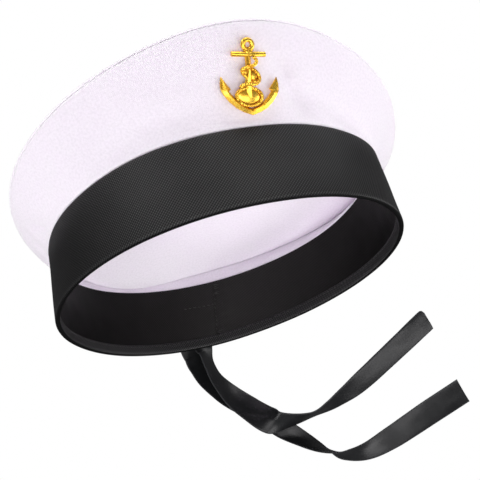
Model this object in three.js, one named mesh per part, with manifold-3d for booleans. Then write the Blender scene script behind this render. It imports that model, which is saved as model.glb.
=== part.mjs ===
import * as THREE from 'three';
import Module from 'manifold-3d';
import { mergeVertices } from 'three/addons/utils/BufferGeometryUtils.js';

// A sailor cap in millimetres, worn level: +Z is up and the badge faces -Y.
// The origin is the centre of the head opening, in the plane of the band's lower edge.

// Band and crown
const rimRadius = 94; // outside of the band at its lower edge
const bandTopRadius = 91; // outside of the band where the crown is sewn on
const bandHeight = 38.5;
const crownRadius = 110; // mean reach of the crown's edge
const crownRise = 37.5; // how far the crown's edge stands above the band at the front
const crownDome = 3.5; // how far the top panel swells in its middle
const foldDepth = 2.6;

// Cloth
const crownCloth = 1.5;
const bandCloth = 1.4;
const innerBandCloth = 1.3;
const hemCloth = 1;
const hemHeight = 6;
const gap = 0.3; // between pieces that are sewn or pressed together

// Ribbons
const ribbonWidth = 16;
const ribbonCloth = 1;
const ribbonSweep = 155; // sideways reach of the free ends from the middle of the back
const ribbonFall = 88; // lowest point below the rim
const ribbonSwing = 16; // how far they stand off the band behind it

// Badge
const badgeHeight = 34;
const badgeWidth = 27.4;
const badgeRelief = 2.3; // height of the ridges above the cloth
const badgeOffset = 2.6; // sideways from the middle of the front
const badgeRise = 0.475; // its middle, as a share of the front panel's height
const badgeBend = 120; // radius that its back follows
const badgeSkew = 5.5; // degrees by which its cross lines drop to the right
const eyeRadius = 3.2;
const eyeHoleRadius = 1.05;
const stockLength = 16;
const stockThickness = 2.3;
const stockRise = 0.285; // above the badge's middle, as a share of its height
const stockOut = 0.6; // its axis above the cloth, as a share of badgeRelief
const ropeThickness = 1.6;
const studRadius = 1;
const clutchRadius = 4.5;
const clutchThickness = 2;

const roundSteps = 72; // sides of every round piece
const ribbonSteps = 44;

// Every 30 degrees, counted from +X towards the back: rim, bandTop and crown are shares of
// the three radii, and rise is a share of crownRise.
const around = [
  { deg: 0, rim: 0.99, bandTop: 0.975, crown: 1.01, rise: 0.44 },
  { deg: 30, rim: 0.98, bandTop: 0.985, crown: 0.97, rise: 0.31 },
  { deg: 60, rim: 0.995, bandTop: 0.99, crown: 0.915, rise: 0.31 },
  { deg: 90, rim: 1.03, bandTop: 0.995, crown: 0.875, rise: 0.27 },
  { deg: 120, rim: 1.01, bandTop: 1.0, crown: 0.88, rise: 0.19 },
  { deg: 150, rim: 0.985, bandTop: 0.99, crown: 0.895, rise: 0.37 },
  { deg: 180, rim: 0.99, bandTop: 0.98, crown: 0.94, rise: 0.57 },
  { deg: 210, rim: 1.005, bandTop: 1.005, crown: 1.0, rise: 0.73 },
  { deg: 240, rim: 1.0, bandTop: 1.035, crown: 1.065, rise: 0.86 },
  { deg: 270, rim: 0.99, bandTop: 1.015, crown: 1.085, rise: 1.0 },
  { deg: 300, rim: 1.0, bandTop: 1.02, crown: 1.03, rise: 0.94 },
  { deg: 330, rim: 1.0, bandTop: 1.03, crown: 1.015, rise: 0.68 },
];

// The side panel from the band to the crown's edge: up and out are shares of its height and overhang.
const panelProfile = [
  { up: 0, out: 0 },
  { up: 0.1, out: 0.07 },
  { up: 0.26, out: 0.24 },
  { up: 0.45, out: 0.45 },
  { up: 0.65, out: 0.66 },
  { up: 0.84, out: 0.86 },
  { up: 1, out: 1 },
];

// Soft dents in the side panel: wide is degrees, high is a share of the panel, deep of foldDepth.
const panelFolds = [
  { deg: 235, up: 0.16, wide: 13, high: 0.09, deep: 0.5 },
  { deg: 255, up: 0.18, wide: 13, high: 0.09, deep: 0.5 },
  { deg: 281, up: 0.6, wide: 4, high: 0.16, deep: 0.5 },
  { deg: 286, up: 0.36, wide: 5, high: 0.16, deep: 0.8 },
  { deg: 301, up: 0.2, wide: 8, high: 0.1, deep: 0.7 },
  { deg: 208, up: 0.4, wide: 8, high: 0.2, deep: 0.6 },
  { deg: 186, up: 0.35, wide: 6, high: 0.22, deep: 0.8 },
  { deg: 350, up: 0.45, wide: 9, high: 0.25, deep: 0.7 },
  { deg: 118, up: 0.5, wide: 9, high: 0.3, deep: 0.6 },
  { deg: 52, up: 0.5, wide: 9, high: 0.3, deep: 0.6 },
];

// Rings of the top panel, as shares of the way from its middle to its edge.
const topRings = [0.3, 0.56, 0.77, 0.92];

// The tails, from where they are sewn on to their free ends. sweep, fall and swing are shares of
// the three ribbon sizes; turn and lean are the heading and the slope of the ribbon's width in degrees.
const upperTail = [
  { sweep: 0.01, fall: -0.17, swing: 0, turn: 0, lean: 0 },
  { sweep: 0.01, fall: -0.1, swing: 0, turn: 0, lean: 0 },
  { sweep: 0.012, fall: -0.045, swing: 0.12, turn: 12, lean: 6 },
  { sweep: 0.012, fall: -0.001, swing: 0.265, turn: 40, lean: 15 },
  { sweep: 0.014, fall: 0.088, swing: 0.357, turn: 52, lean: 18 },
  { sweep: 0.032, fall: 0.208, swing: 0.439, turn: 45, lean: 12 },
  { sweep: 0.075, fall: 0.349, swing: 0.49, turn: 21, lean: 10 },
  { sweep: 0.128, fall: 0.469, swing: 0.47, turn: 1, lean: 16 },
  { sweep: 0.181, fall: 0.584, swing: 0.3, turn: -24, lean: 25 },
  { sweep: 0.228, fall: 0.625, swing: 0.27, turn: -51, lean: 18 },
  { sweep: 0.341, fall: 0.639, swing: 0.2, turn: -72, lean: 3 },
  { sweep: 0.433, fall: 0.606, swing: 0.1, turn: -117, lean: 7 },
  { sweep: 0.505, fall: 0.56, swing: -0.03, turn: -130, lean: 16 },
  { sweep: 0.609, fall: 0.483, swing: -0.125, turn: -139, lean: 28 },
  { sweep: 0.77, fall: 0.342, swing: -0.259, turn: -145, lean: 31 },
  { sweep: 0.977, fall: 0.156, swing: -0.308, turn: -149, lean: 37 },
];
const lowerTail = [
  { sweep: -0.042, fall: -0.17, swing: 0, turn: 4, lean: 0 },
  { sweep: -0.042, fall: -0.1, swing: 0, turn: 4, lean: 0 },
  { sweep: -0.04, fall: -0.045, swing: 0.16, turn: 10, lean: 2 },
  { sweep: -0.031, fall: 0.003, swing: 0.355, turn: 22, lean: 3 },
  { sweep: -0.019, fall: 0.066, swing: 0.622, turn: 22, lean: 4 },
  { sweep: 0.003, fall: 0.163, swing: 0.776, turn: 21, lean: 5 },
  { sweep: 0.04, fall: 0.258, swing: 0.886, turn: 22, lean: 15 },
  { sweep: 0.089, fall: 0.352, swing: 0.975, turn: 21, lean: 34 },
  { sweep: 0.178, fall: 0.492, swing: 0.97, turn: 22, lean: 40 },
  { sweep: 0.253, fall: 0.639, swing: 0.925, turn: 25, lean: 40 },
  { sweep: 0.318, fall: 0.755, swing: 0.763, turn: 42, lean: 35 },
  { sweep: 0.365, fall: 0.836, swing: 0.62, turn: 56, lean: 24 },
  { sweep: 0.406, fall: 0.896, swing: 0.485, turn: 69, lean: 8 },
  { sweep: 0.452, fall: 0.941, swing: 0.367, turn: 78, lean: -10 },
  { sweep: 0.53, fall: 0.961, swing: 0.128, turn: 70, lean: -33 },
  { sweep: 0.649, fall: 0.921, swing: -0.035, turn: 55, lean: -50 },
  { sweep: 0.829, fall: 0.828, swing: -0.222, turn: 34, lean: -57 },
  { sweep: 0.999, fall: 0.743, swing: -0.531, turn: 29, lean: -61 },
];

// Half of the anchor's arms, from the middle of the crown to the fluke's tip. Across values are shares
// of half the badge's width, up values shares of its height from the middle, ridge of badgeRelief.
const anchorArm = [
  { outX: 0, outUp: -0.5, inX: 0, inUp: -0.412, ridge: 1 },
  { outX: 0.3, outUp: -0.458, inX: 0.2, inUp: -0.388, ridge: 1 },
  { outX: 0.52, outUp: -0.408, inX: 0.36, inUp: -0.347, ridge: 1 },
  { outX: 0.74, outUp: -0.332, inX: 0.535, inUp: -0.285, ridge: 1 },
  { outX: 0.92, outUp: -0.238, inX: 0.67, inUp: -0.226, ridge: 0.95 },
  { outX: 0.975, outUp: -0.19, inX: 0.735, inUp: -0.187, ridge: 0.9 },
  { outX: 1, outUp: -0.165, inX: 0.66, inUp: -0.165, ridge: 0.8 },
  { outX: 1, outUp: -0.09, inX: 0.82, inUp: -0.082, ridge: 0.55 },
  { outX: 0.96, outUp: -0.006, inX: 0.945, inUp: -0.008, ridge: 0.3 },
];

// The rope's way round the shank, as the two stretches that show: x is a share of half the badge's
// width, up of its height, out of badgeRelief.
const ropeWays = [
  [
    { x: 0.2, up: 0.25, out: 0.6 },
    { x: 0.255, up: 0.215, out: 0.75 },
    { x: 0.2, up: 0.176, out: 0.95 },
    { x: 0.07, up: 0.144, out: 1.1 },
    { x: -0.085, up: 0.125, out: 1.05 },
    { x: -0.213, up: 0.106, out: 0.7 },
    { x: -0.262, up: 0.079, out: 0.45 },
    { x: -0.232, up: 0.037, out: 0.4 },
    { x: -0.153, up: 0.004, out: 0.4 },
    { x: -0.06, up: -0.023, out: 0.35 },
  ],
  [
    { x: 0.06, up: 0.102, out: 0.35 },
    { x: 0.174, up: 0.083, out: 0.4 },
    { x: 0.274, up: 0.041, out: 0.4 },
    { x: 0.322, up: -0.009, out: 0.45 },
    { x: 0.274, up: -0.051, out: 0.65 },
    { x: 0.155, up: -0.084, out: 0.95 },
    { x: -0.02, up: -0.099, out: 1.1 },
    { x: -0.192, up: -0.099, out: 0.85 },
    { x: -0.3, up: -0.114, out: 0.6 },
    { x: -0.345, up: -0.144, out: 0.5 },
  ],
];
const ropeLoop = { x: -0.065, up: -0.259, halfWide: 0.438, halfHigh: 0.116, out: 0.5 };

// Thin metal that fills the rope's two bends.
const ropeWebs = [
  { x: -0.12, up: 0.06, halfWide: 0.14, halfHigh: 0.055 },
  { x: 0.16, up: 0.005, halfWide: 0.16, halfHigh: 0.08 },
];
const shankWidths = [
  { up: 0.36, left: 0.1, right: 0.1 },
  { up: 0.22, left: 0.1, right: 0.09 },
  { up: 0.03, left: 0.095, right: 0.08 },
  { up: -0.13, left: 0.22, right: 0.1 },
  { up: -0.3, left: 0.2, right: 0.08 },
  { up: -0.42, left: 0.16, right: 0.12 },
];

const colours = {
  white: 0xf5eef7,
  band: 0x24252a,
  innerBand: 0x211c17,
  ribbon: 0x16181a,
  gold: 0xe0a526,
  steel: 0xb9b4a6,
};

const wasm = await Module();
wasm.setup();

// Helpers

function catmull(before, from, to, after, t) {
  const line = to - before;
  const bend = 2 * before - 5 * from + 4 * to - after;
  const twist = 3 * from - before - 3 * to + after;
  return 0.5 * (2 * from + line * t + bend * t * t + twist * t * t * t);
}

function shareAt(column, angle) {
  const count = around.length;
  const place = (((angle / (2 * Math.PI)) % 1) + 1) % 1 * count;
  const row = Math.floor(place);
  const pick = (step) => around[(row + step + count) % count][column];
  return catmull(pick(-1), pick(0), pick(1), pick(2), place - row);
}

function rowAt(rows, column, place) {
  const row = Math.min(Math.floor(place), rows.length - 2);
  const pick = (step) => rows[Math.min(Math.max(row + step, 0), rows.length - 1)][column];
  return catmull(pick(-1), pick(0), pick(1), pick(2), place - row);
}

function toPoint(angle, radius, z) {
  return new THREE.Vector3(radius * Math.cos(angle), radius * Math.sin(angle), z);
}

function toGeometry(points, triangles) {
  const geometry = new THREE.BufferGeometry();
  const numbers = points.flatMap((p) => p.toArray());
  geometry.setAttribute('position', new THREE.Float32BufferAttribute(numbers, 3));
  geometry.setIndex(triangles);
  geometry.computeVertexNormals();
  return geometry;
}

// Joins sections that all have as many points. A closed run meets its own start, and an open run
// gets flat ends.
function loft(sections, closed) {
  const size = sections[0].length;
  const triangles = [];
  const last = closed ? sections.length : sections.length - 1;
  for (let i = 0; i < last; i += 1) {
    const next = (i + 1) % sections.length;
    for (let j = 0; j < size; j += 1) {
      const a = i * size + j;
      const b = i * size + ((j + 1) % size);
      const c = next * size + j;
      const d = next * size + ((j + 1) % size);
      triangles.push(a, c, b, b, c, d);
    }
  }
  if (!closed) {
    const end = (sections.length - 1) * size;
    for (let j = 1; j < size - 1; j += 1) {
      triangles.push(0, j, j + 1);
      triangles.push(end, end + j + 1, end + j);
    }
  }
  return toGeometry(sections.flat(), triangles);
}

// Goes round the cap with a closed outline of { radius, z } points: up the outside, down the inside.
function roundWall(outlineAt) {
  const sections = [];
  for (let i = 0; i < roundSteps; i += 1) {
    const angle = (2 * Math.PI * i) / roundSteps;
    sections.push(outlineAt(angle).map((p) => toPoint(angle, p.radius, p.z)));
  }
  return loft(sections, true);
}

function toSolid(geometry) {
  const bare = geometry.clone();
  bare.deleteAttribute('normal');
  bare.deleteAttribute('uv');
  const merged = mergeVertices(bare, 1e-4);
  const mesh = new wasm.Mesh({
    numProp: 3,
    vertProperties: new Float32Array(merged.attributes.position.array),
    triVerts: new Uint32Array(merged.index.array),
  });
  return new wasm.Manifold(mesh);
}

function fromSolid(solid) {
  const mesh = solid.getMesh();
  const geometry = new THREE.BufferGeometry();
  geometry.setAttribute('position', new THREE.BufferAttribute(new Float32Array(mesh.vertProperties), 3));
  geometry.setIndex(Array.from(mesh.triVerts));
  geometry.computeVertexNormals();
  return geometry;
}

// Fuses the shapes as one casting: pockets that nothing can reach are filled.
function fuse(geometries) {
  const whole = geometries.map(toSolid).reduce((sum, next) => sum.add(next));
  const shells = whole.decompose().filter((shell) => shell.volume() > 0);
  return shells.reduce((sum, next) => sum.add(next));
}

function piece(name, geometry, colour, roughness, metalness) {
  const material = new THREE.MeshStandardMaterial({ color: colour, roughness, metalness });
  const mesh = new THREE.Mesh(geometry, material);
  mesh.name = name;
  return mesh;
}

// Surfaces that several pieces share

function bandRadius(angle, z) {
  const low = rimRadius * shareAt('rim', angle);
  const high = bandTopRadius * shareAt('bandTop', angle);
  return low + (high - low) * (z / bandHeight);
}

function crownEdge(angle) {
  return {
    radius: crownRadius * shareAt('crown', angle),
    z: bandHeight + gap + crownRise * shareAt('rise', angle),
  };
}

// The top panel rises evenly from its edge to its middle, and swells a little.
const middleHeight = around.reduce((sum, row) => sum + row.rise, 0) / around.length;

function topUnderside(angle, share) {
  const middle = bandHeight + gap + crownRise * middleHeight;
  return middle + (crownEdge(angle).z - middle) * share + crownDome * (1 - share * share);
}

function foldAt(angle, up) {
  let depth = 0;
  for (const fold of panelFolds) {
    const turn = angle - THREE.MathUtils.degToRad(fold.deg);
    const away = Math.atan2(Math.sin(turn), Math.cos(turn));
    const across = THREE.MathUtils.radToDeg(away) / fold.wide;
    const along = (up - fold.up) / fold.high;
    depth += foldDepth * fold.deep * Math.exp(-0.5 * (across * across + along * along));
  }
  const fade = Math.min(1, up / 0.1) * Math.min(1, (1 - up) / 0.1);
  return depth * fade;
}

function panelOut(up) {
  const rows = panelProfile;
  const next = Math.max(1, rows.findIndex((row) => row.up >= up));
  const share = (up - rows[next - 1].up) / (rows[next].up - rows[next - 1].up);
  return rows[next - 1].out + (rows[next].out - rows[next - 1].out) * share;
}

function panelOuter(angle, up) {
  const edge = crownEdge(angle);
  const foot = bandRadius(angle, bandHeight);
  const low = bandHeight + gap;
  return {
    radius: foot + (edge.radius - foot) * panelOut(up) - foldAt(angle, up),
    z: low + (edge.z - gap - low) * up,
  };
}

// The cloth keeps its thickness on a slope, so it is wider where it is measured level.
function levelThickness(angle) {
  const edge = crownEdge(angle);
  const foot = bandRadius(angle, bandHeight);
  const slant = Math.atan2(edge.radius - foot, edge.z - bandHeight);
  return crownCloth / Math.max(Math.cos(slant), 0.5);
}

function panelInner(angle, up) {
  const outer = panelOuter(angle, up);
  const radius = outer.radius - levelThickness(angle);
  const low = bandHeight + gap;
  const top = topUnderside(angle, radius / crownEdge(angle).radius) - gap;
  const lift = Math.min(outer.z, low + (top - low) * up);
  return { radius, z: up === 1 ? top : lift };
}

// Pieces

function makeCrownTop() {
  const edgeRound = 0.6;
  const sections = [];
  for (let i = 0; i < roundSteps; i += 1) {
    const angle = (2 * Math.PI * i) / roundSteps;
    const edge = crownEdge(angle);
    const at = (share, lift) => toPoint(angle, edge.radius * share, topUnderside(angle, share) + lift);
    const low = topRings.map((share) => at(share, 0));
    const high = topRings.map((share) => at(share, crownCloth)).reverse();
    const rim = [
      at(1 - edgeRound / edge.radius, 0),
      at(1, crownCloth * 0.35),
      at(1 - edgeRound / edge.radius, crownCloth),
    ];
    sections.push([...low, ...rim, ...high]);
  }
  const points = sections.flat();
  const size = sections[0].length;
  const lowMiddle = points.length;
  const highMiddle = lowMiddle + 1;
  points.push(toPoint(0, 0, topUnderside(0, 0)), toPoint(0, 0, topUnderside(0, 0) + crownCloth));
  const triangles = [];
  for (let i = 0; i < roundSteps; i += 1) {
    const here = i * size;
    const next = ((i + 1) % roundSteps) * size;
    for (let j = 0; j < size - 1; j += 1) {
      triangles.push(here + j, next + j, here + j + 1);
      triangles.push(here + j + 1, next + j, next + j + 1);
    }
    triangles.push(lowMiddle, next, here);
    triangles.push(highMiddle, here + size - 1, next + size - 1);
  }
  return toGeometry(points, triangles);
}

function makeCrownSide() {
  const heights = panelProfile.map((row) => row.up);
  return roundWall((angle) => [
    ...heights.map((up) => panelInner(angle, up)).reverse(),
    ...heights.map((up) => panelOuter(angle, up)),
  ]);
}

// An outline whose depths are measured inwards from the outside of the band.
function bandWall(outline) {
  const toRow = (angle, p) => ({ radius: bandRadius(angle, p.z) - p.deep, z: p.z });
  return roundWall((angle) => outline.map((p) => toRow(angle, p)));
}

// The band's cloth turns in under the inner band and up again as a hem.
function makeBand() {
  const groove = bandCloth + gap + innerBandCloth + gap;
  const inside = groove + hemCloth;
  const soften = 0.5;
  const outline = [
    { deep: 0, z: soften },
    { deep: 0, z: bandHeight / 2 },
    { deep: 0, z: bandHeight },
    { deep: bandCloth, z: bandHeight },
    { deep: bandCloth, z: bandHeight / 2 },
    { deep: bandCloth, z: hemCloth },
    { deep: groove, z: hemCloth },
    { deep: groove, z: hemHeight },
    { deep: inside, z: hemHeight },
    { deep: inside, z: soften },
    { deep: inside - soften, z: 0 },
    { deep: soften, z: 0 },
  ];
  return bandWall(outline);
}

function makeInnerBand() {
  const outer = bandCloth + gap;
  const inner = outer + innerBandCloth;
  const foot = hemCloth + gap;
  const outline = [
    { deep: outer, z: foot },
    { deep: outer, z: bandHeight / 2 },
    { deep: outer, z: bandHeight },
    { deep: inner, z: bandHeight },
    { deep: inner, z: bandHeight / 2 },
    { deep: inner, z: foot },
  ];
  return bandWall(outline);
}

// The first rows lie on the back of the band; a second ribbon lies one layer further out.
function makeRibbon(rows, layer) {
  const sections = [];
  const step = 0.05; // of a row, to either side, for the way the ribbon runs
  const middleAt = (place) => {
    const z = -ribbonFall * rowAt(rows, 'fall', place);
    const band = bandRadius(Math.PI / 2, Math.max(z, 0));
    const seat = band + gap + ribbonCloth / 2 + layer * (ribbonCloth + gap);
    const y = seat + ribbonSwing * rowAt(rows, 'swing', place);
    return new THREE.Vector3(ribbonSweep * rowAt(rows, 'sweep', place), y, z);
  };
  for (let i = 0; i <= ribbonSteps; i += 1) {
    const place = ((rows.length - 1) * i) / ribbonSteps;
    const turn = THREE.MathUtils.degToRad(rowAt(rows, 'turn', place));
    const lean = THREE.MathUtils.degToRad(rowAt(rows, 'lean', place));
    const middle = middleAt(place);
    const ahead = middleAt(Math.min(place + step, rows.length - 1));
    const behind = middleAt(Math.max(place - step, 0));
    const way = ahead.sub(behind).normalize();
    const level = Math.cos(lean);
    const across = new THREE.Vector3(level * Math.cos(turn), level * Math.sin(turn), Math.sin(lean));
    across.addScaledVector(way, -across.dot(way)).normalize();
    const face = new THREE.Vector3().crossVectors(across, way);
    const corner = (side, front) => middle.clone()
      .addScaledVector(across, (side * ribbonWidth) / 2)
      .addScaledVector(face, (front * ribbonCloth) / 2);
    sections.push([corner(-1, -1), corner(1, -1), corner(1, 1), corner(-1, 1)]);
  }
  return loft(sections, false);
}

// The badge is modelled flat on its back, x across, y up and z out of the cloth.

function makeArms() {
  const half = badgeWidth / 2;
  const crest = 0.45; // the ridge's place between the outer and the inner edge
  const shoulder = 0.45; // height of both edges, as a share of the ridge
  const section = (row, side) => {
    const outer = new THREE.Vector2(side * half * row.outX, badgeHeight * row.outUp);
    const inner = new THREE.Vector2(side * half * row.inX, badgeHeight * row.inUp);
    const ridge = outer.clone().lerp(inner, crest);
    const high = badgeRelief * row.ridge;
    return [
      new THREE.Vector3(outer.x, outer.y, 0),
      new THREE.Vector3(outer.x, outer.y, high * shoulder),
      new THREE.Vector3(ridge.x, ridge.y, high),
      new THREE.Vector3(inner.x, inner.y, high * shoulder),
      new THREE.Vector3(inner.x, inner.y, 0),
    ];
  };
  const left = anchorArm.slice(1).reverse().map((row) => section(row, -1));
  const right = anchorArm.map((row) => section(row, 1));
  return loft([...left, ...right], false);
}

function makeShank() {
  const crest = 0.2; // half width of the flat crest, as a share of the shank's
  const shoulder = 0.5;
  const sections = shankWidths.map((row) => {
    const left = (-row.left * badgeWidth) / 2;
    const right = (row.right * badgeWidth) / 2;
    const y = badgeHeight * row.up;
    return [
      new THREE.Vector3(left, y, 0),
      new THREE.Vector3(left, y, badgeRelief * shoulder),
      new THREE.Vector3(left * crest, y, badgeRelief),
      new THREE.Vector3(right * crest, y, badgeRelief),
      new THREE.Vector3(right, y, badgeRelief * shoulder),
      new THREE.Vector3(right, y, 0),
    ];
  });
  return loft(sections, false);
}

function makeEye() {
  const wire = (eyeRadius - eyeHoleRadius) / 2;
  const ring = new THREE.TorusGeometry(eyeHoleRadius + wire, wire, 8, 20);
  ring.translate(0, badgeHeight / 2 - eyeRadius, wire);
  return ring;
}

function makeStock() {
  const bar = new THREE.CylinderGeometry(stockThickness / 2, stockThickness / 2, stockLength, 8);
  bar.rotateZ(Math.PI / 2);
  bar.translate(0, badgeHeight * stockRise, badgeRelief * stockOut);
  return bar;
}

function makeRope(points, closed, steps) {
  const way = new THREE.CatmullRomCurve3(points, closed);
  const section = new THREE.Shape();
  section.absarc(0, 0, ropeThickness / 2, 0, 2 * Math.PI, false);
  return new THREE.ExtrudeGeometry(section, { steps, extrudePath: way, curveSegments: 4 });
}

function makeRopeRound(way) {
  const points = way.map((row) => new THREE.Vector3(
    (row.x * badgeWidth) / 2,
    badgeHeight * row.up,
    badgeRelief * row.out + ropeThickness / 4,
  ));
  return makeRope(points, false, 26);
}

function makeWeb(row) {
  const web = new THREE.CylinderGeometry(1, 1, badgeRelief * 0.35, 16);
  web.rotateX(Math.PI / 2);
  web.scale((badgeWidth / 2) * row.halfWide, badgeHeight * row.halfHigh, 1);
  web.translate((badgeWidth / 2) * row.x, badgeHeight * row.up, badgeRelief * 0.2);
  return web;
}

function makeLoop() {
  const count = 32;
  const sections = [];
  for (let i = 0; i < count; i += 1) {
    const angle = (2 * Math.PI * i) / count;
    const way = new THREE.Vector3(Math.cos(angle), Math.sin(angle), 0);
    const middle = new THREE.Vector3(
      (badgeWidth / 2) * (ropeLoop.x + ropeLoop.halfWide * way.x),
      badgeHeight * (ropeLoop.up + ropeLoop.halfHigh * way.y),
      badgeRelief * ropeLoop.out,
    );
    const section = [];
    for (let j = 0; j < 8; j += 1) {
      const round = (2 * Math.PI * j) / 8;
      const reach = (ropeThickness / 2) * Math.cos(round);
      const lift = (ropeThickness / 2) * Math.sin(round);
      section.push(middle.clone().addScaledVector(way, reach).setZ(middle.z + lift));
    }
    sections.push(section);
  }
  return loft(sections, true);
}

function makeDome() {
  const profile = [new THREE.Vector2(0, 0)];
  for (let i = 0; i <= 6; i += 1) {
    const angle = (Math.PI / 2) * (i / 6);
    profile.push(new THREE.Vector2(Math.cos(angle), 0.2 + 0.8 * Math.sin(angle)));
  }
  profile[profile.length - 1].x = 0;
  profile.splice(1, 0, new THREE.Vector2(1, 0));
  const dome = new THREE.LatheGeometry(profile, 24);
  dome.rotateX(Math.PI / 2);
  dome.scale((badgeWidth / 2) * ropeLoop.halfWide, badgeHeight * ropeLoop.halfHigh, badgeRelief * 0.7);
  dome.translate((badgeWidth / 2) * ropeLoop.x, badgeHeight * ropeLoop.up, 0);
  return dome;
}

// The frame that the badge stands in: its middle on the cloth, its back along the cloth's slope.
function badgeFrame() {
  const angle = 1.5 * Math.PI + badgeOffset / crownRadius;
  const at = (turn, up) => {
    const place = panelOuter(turn, up);
    return toPoint(turn, place.radius, place.z);
  };
  const reach = 0.3; // of the panel's height, above and below the middle
  const middle = at(angle, badgeRise);
  const up = at(angle, badgeRise + reach).sub(at(angle, badgeRise - reach)).normalize();
  const along = new THREE.Vector3(-Math.sin(angle), Math.cos(angle), 0);
  const out = new THREE.Vector3().crossVectors(along, up).normalize();
  const across = new THREE.Vector3().crossVectors(up, out);
  return { angle, middle, across, up, out, at };
}

// The least lift that keeps the badge's bent back clear of the cloth, and how deep the cloth is
// behind it.
function badgeSeat(frame) {
  const lowest = 0.06; // the part of the panel that the badge covers, as shares of its height
  const highest = 0.92;
  let lift = 0;
  let depth = 0;
  for (let i = -6; i <= 6; i += 1) {
    for (let j = 0; j <= 16; j += 1) {
      const turn = frame.angle + ((badgeWidth / 2) * (i / 6)) / crownRadius;
      const share = lowest + (highest - lowest) * (j / 16);
      const point = frame.at(turn, share).sub(frame.middle);
      const x = point.dot(frame.across);
      lift = Math.max(lift, point.dot(frame.out) + (x * x) / (2 * badgeBend));
    }
  }
  for (const up of [-0.1, 0, 0.1]) {
    const inner = panelInner(frame.angle, badgeRise + up);
    const point = toPoint(frame.angle, inner.radius, inner.z).sub(frame.middle);
    depth = Math.max(depth, -point.dot(frame.out));
  }
  return { lift: lift + gap, depth };
}

// Gives the flat badge its skew and bends its back to the cap.
function bendBack(geometry) {
  const place = geometry.attributes.position;
  const drop = Math.tan(THREE.MathUtils.degToRad(badgeSkew));
  for (let i = 0; i < place.count; i += 1) {
    const x = place.getX(i);
    place.setY(i, place.getY(i) - x * drop);
    place.setZ(i, place.getZ(i) - (x * x) / (2 * badgeBend));
  }
  geometry.computeVertexNormals();
  return geometry;
}

const frame = badgeFrame();
const seat = badgeSeat(frame);
const frameMatrix = new THREE.Matrix4().makeBasis(frame.across, frame.up, frame.out);
frameMatrix.setPosition(frame.middle);
const clutchAllowance = 0.2; // the cloth curves a little under the flat clutch
const clutchTop = -(seat.depth + gap + clutchAllowance);
const studEnd = clutchTop - clutchThickness - 1;

function makeStud(radius, from, to) {
  const stud = new THREE.CylinderGeometry(radius, radius, to - from, 16);
  stud.rotateX(Math.PI / 2);
  stud.translate(0, 0, (from + to) / 2);
  return stud;
}

function makeBadge() {
  const flat = [makeArms(), makeShank(), makeEye(), makeStock(), makeLoop(), makeDome()];
  flat.push(...ropeWays.map(makeRopeRound), ...ropeWebs.map(makeWeb));
  const neck = makeStud(eyeHoleRadius, 0.2, badgeRelief * 0.9);
  neck.scale(1.3, 1.3, 1);
  neck.translate(0, badgeHeight / 2 - 2 * eyeRadius, 0);
  const face = bendBack(fromSolid(fuse([...flat, neck])));
  face.translate(0, 0, seat.lift);
  return fromSolid(fuse([face, makeStud(studRadius, studEnd, seat.lift + 1)]));
}

function makeClutch() {
  const bore = studRadius + gap;
  const soften = 0.4;
  const low = clutchTop - clutchThickness;
  const profile = [
    new THREE.Vector2(bore, low),
    new THREE.Vector2(clutchRadius - soften, low),
    new THREE.Vector2(clutchRadius, low + soften),
    new THREE.Vector2(clutchRadius, clutchTop),
    new THREE.Vector2(bore, clutchTop),
    new THREE.Vector2(bore, low),
  ];
  const ring = new THREE.LatheGeometry(profile, 20);
  ring.rotateX(Math.PI / 2);
  return ring;
}

function makePiercedSide() {
  const hole = makeStud(studRadius + gap, studEnd, seat.lift + 1);
  hole.applyMatrix4(frameMatrix);
  return fromSolid(toSolid(makeCrownSide()).subtract(toSolid(hole)));
}

const cap = new THREE.Group();
cap.add(piece('crown_top', makeCrownTop(), colours.white, 0.85, 0));
cap.add(piece('crown_side', makePiercedSide(), colours.white, 0.85, 0));
cap.add(piece('band', makeBand(), colours.band, 0.8, 0));
cap.add(piece('inner_band', makeInnerBand(), colours.innerBand, 0.85, 0));
cap.add(piece('ribbon_upper', makeRibbon(upperTail, 0), colours.ribbon, 0.45, 0));
cap.add(piece('ribbon_lower', makeRibbon(lowerTail, 1), colours.ribbon, 0.45, 0));

const badge = new THREE.Group();
badge.add(piece('badge_anchor', makeBadge(), colours.gold, 0.3, 1));
badge.add(piece('badge_clutch', makeClutch(), colours.steel, 0.35, 1));
badge.applyMatrix4(frameMatrix);
cap.add(badge);

export default cap;
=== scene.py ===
from math import atan2, copysign, cos, degrees, dist, exp, floor, hypot, pi, radians, sin, sqrt, tan

import bmesh
import bpy
from mathutils import Matrix, Vector, noise


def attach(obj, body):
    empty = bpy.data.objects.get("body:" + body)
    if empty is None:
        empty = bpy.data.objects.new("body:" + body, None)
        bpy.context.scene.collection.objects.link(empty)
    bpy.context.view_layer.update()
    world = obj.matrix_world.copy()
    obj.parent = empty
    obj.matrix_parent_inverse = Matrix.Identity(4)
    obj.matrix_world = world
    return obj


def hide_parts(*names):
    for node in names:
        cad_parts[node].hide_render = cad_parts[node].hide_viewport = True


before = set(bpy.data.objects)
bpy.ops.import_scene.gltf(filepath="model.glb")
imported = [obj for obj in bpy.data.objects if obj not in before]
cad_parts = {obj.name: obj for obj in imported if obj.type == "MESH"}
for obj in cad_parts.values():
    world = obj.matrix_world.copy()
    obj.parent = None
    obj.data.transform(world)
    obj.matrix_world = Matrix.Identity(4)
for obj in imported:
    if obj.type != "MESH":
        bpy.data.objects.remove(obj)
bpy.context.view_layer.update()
mm = 0.001
print("frame loaded:", len(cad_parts), "nodes")


def table(names, *rows):
    return [dict(zip(names.split(), row)) for row in rows]


def addObject(name, data):
    made = bpy.data.objects.new(name, data)
    bpy.context.collection.objects.link(made)
    return made


def turnedAbout(angle, middle, halfWide, power):
    # 1 at the middle degrees and almost 0 past half the width, flatter on top with a higher power
    return exp(-(((degrees(angle) % 360 - middle) / halfWide) ** power))


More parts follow.
